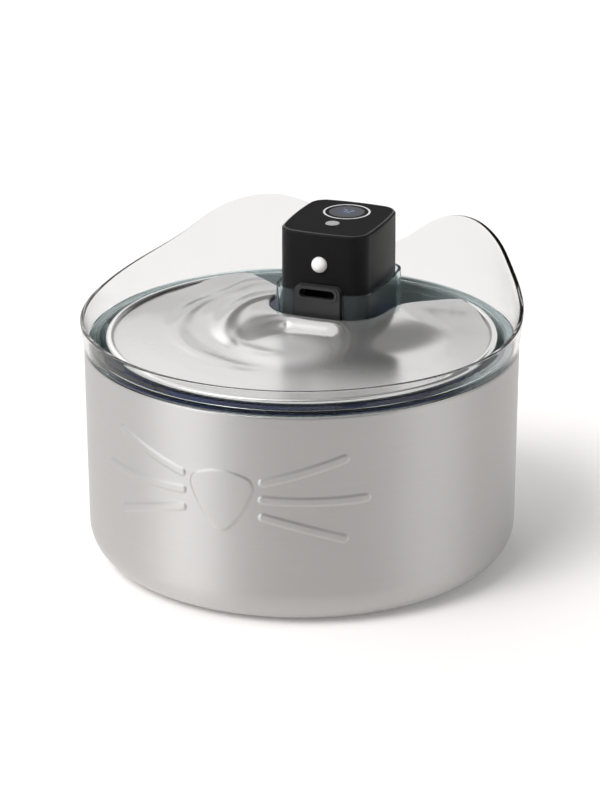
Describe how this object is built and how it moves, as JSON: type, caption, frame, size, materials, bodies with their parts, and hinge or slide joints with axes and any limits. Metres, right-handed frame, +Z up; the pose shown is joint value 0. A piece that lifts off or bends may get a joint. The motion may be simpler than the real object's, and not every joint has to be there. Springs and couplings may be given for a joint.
{
  "type": "pet water fountain",
  "caption": "Round steel pet water fountain with a clear eared splash guard, a notched drinking plate and a lift-out battery pump column with a wide spout.",
  "frame": {"origin": "centre of the bowl's underside, on the surface it stands on", "axes": "+Z up; -Y towards the drinking side, where the spout and the pressed nose face; +X to the right seen from the front"},
  "size_m": [0.2136, 0.2136, 0.154],
  "materials": {
    "satin_steel": "satin",
    "polished_steel": "polished",
    "clear_plastic": "clear",
    "black_plastic": "satin",
    "black_window": "gloss",
    "pale_trim": "satin",
    "white_lens": "satin",
    "filter_blue": "matte",
    "foam_white": "open foam",
    "carbon_black": "granular",
    "silicone_black": "matte",
    "silicone_clear": "satin",
    "board_green": "solder mask",
    "cell_sleeve": "shrink sleeve",
    "inner_plastic": "moulded",
    "bright_metal": "plated",
    "core_steel": "laminated",
    "copper_wire": "enamelled",
    "ceramic": "ground",
    "magnet": "plain"
  },
  "bodies": {
    "bowl": {"steel_bowl": "satin_steel"},
    "guard": {"splash_guard": "clear_plastic"},
    "tray": {"filter_tray": "clear_plastic"},
    "filter": {"filter_case": "filter_blue", "filter_lid": "filter_blue", "foam_pad": "foam_white", "carbon_bed": "carbon_black"},
    "plate": {"drinking_plate": "polished_steel"},
    "pump": {"upper_housing": "black_plastic", "lower_housing": "black_plastic", "housing_seal": "silicone_black", "top_panel": "black_plastic", "display_window": "black_window", "display_ring": "pale_trim", "display_module": "inner_plastic", "display_board": "board_green", "button_switch": "inner_plastic", "pir_lens": "white_lens", "pir_sensor": "bright_metal", "spout_nozzle": "black_plastic", "riser_tube": "silicone_clear", "control_board": "board_green", "battery_cells": "cell_sleeve", "battery_holder": "inner_plastic", "charging_socket": "bright_metal", "stator_core": "core_steel", "stator_coils": "copper_wire", "pump_base": "black_plastic", "pump_screws": "bright_metal", "impeller_shaft": "ceramic", "shaft_bushes": "silicone_black"},
    "button": {"mode_button": "pale_trim"},
    "port_flap": {"port_plug": "silicone_black"},
    "impeller": {"impeller_wheel": "inner_plastic", "rotor_magnet": "magnet"},
    "cover": {"inlet_cover": "black_plastic", "inlet_sponge": "foam_white"}
  },
  "joints": [
    {"name": "guard_lift", "type": "slide", "parent": "bowl", "child": "guard", "axis": [0, 0, 1], "range_m": [0, 0.03]},
    {"name": "tray_lift", "type": "slide", "parent": "guard", "child": "tray", "axis": [0, 0, 1], "range_m": [0, 0.04]},
    {"name": "filter_lift", "type": "slide", "parent": "tray", "child": "filter", "axis": [0, 0, 1], "range_m": [0, 0.03]},
    {"name": "plate_lift", "type": "slide", "parent": "filter", "child": "plate", "axis": [0, 0, 1], "range_m": [0, 0.05]},
    {"name": "pump_lift", "type": "slide", "parent": "tray", "child": "pump", "axis": [0, 0, 1], "range_m": [0, 0.13]},
    {"name": "mode_press", "type": "slide", "parent": "pump", "child": "button", "axis": [0, 0, -1], "range_m": [0, 0.00045], "stiffness_N_per_m": 2500, "springref_m": -0.0001},
    {"name": "flap_hinge", "type": "hinge", "parent": "pump", "child": "port_flap", "pos_m": [0, 0.07762, 0.13412], "axis": [-1, 0, 0], "range_deg": [0, 110], "stiffness_Nm_per_rad": 0.0002, "springref_deg": -17.19},
    {"name": "impeller_spin", "type": "hinge", "parent": "pump", "child": "impeller", "pos_m": [0, 0.054, 0.02], "axis": [0, 0, 1], "continuous": true},
    {"name": "cover_turn", "type": "hinge", "parent": "pump", "child": "cover", "pos_m": [0, 0.051, 0.005], "axis": [0, 0, 1], "range_deg": [0, 30]}
  ]
}
